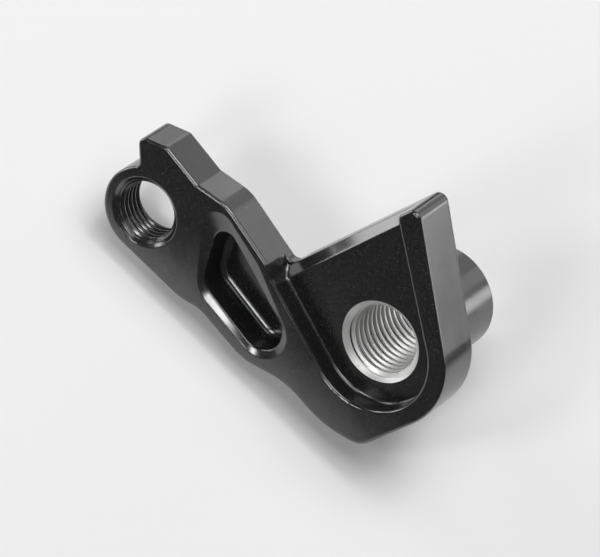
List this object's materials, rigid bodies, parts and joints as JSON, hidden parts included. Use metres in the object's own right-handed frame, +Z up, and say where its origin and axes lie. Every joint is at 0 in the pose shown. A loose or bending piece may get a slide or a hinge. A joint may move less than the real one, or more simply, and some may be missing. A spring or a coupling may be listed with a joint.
{
  "type": "bicycle derailleur hanger",
  "caption": "Black machined hanger: a wavy arm with a bevelled pocket joins a threaded ring to a U-shaped hub recess, with a threaded boss behind it.",
  "frame": {"origin": "on the axle's axis, in the plane of the seat that the hub's end cap bears on", "axes": "as mounted on the bicycle: +X forward, +Y along the axle towards the wheel, +Z up"},
  "size_m": [0.051, 0.0227, 0.0544],
  "materials": {
    "anodised_aluminium": "black anodised, satin; the axle's thread is bare metal"
  },
  "bodies": {
    "root": {"hanger_body": "anodised_aluminium"}
  },
  "joints": []
}
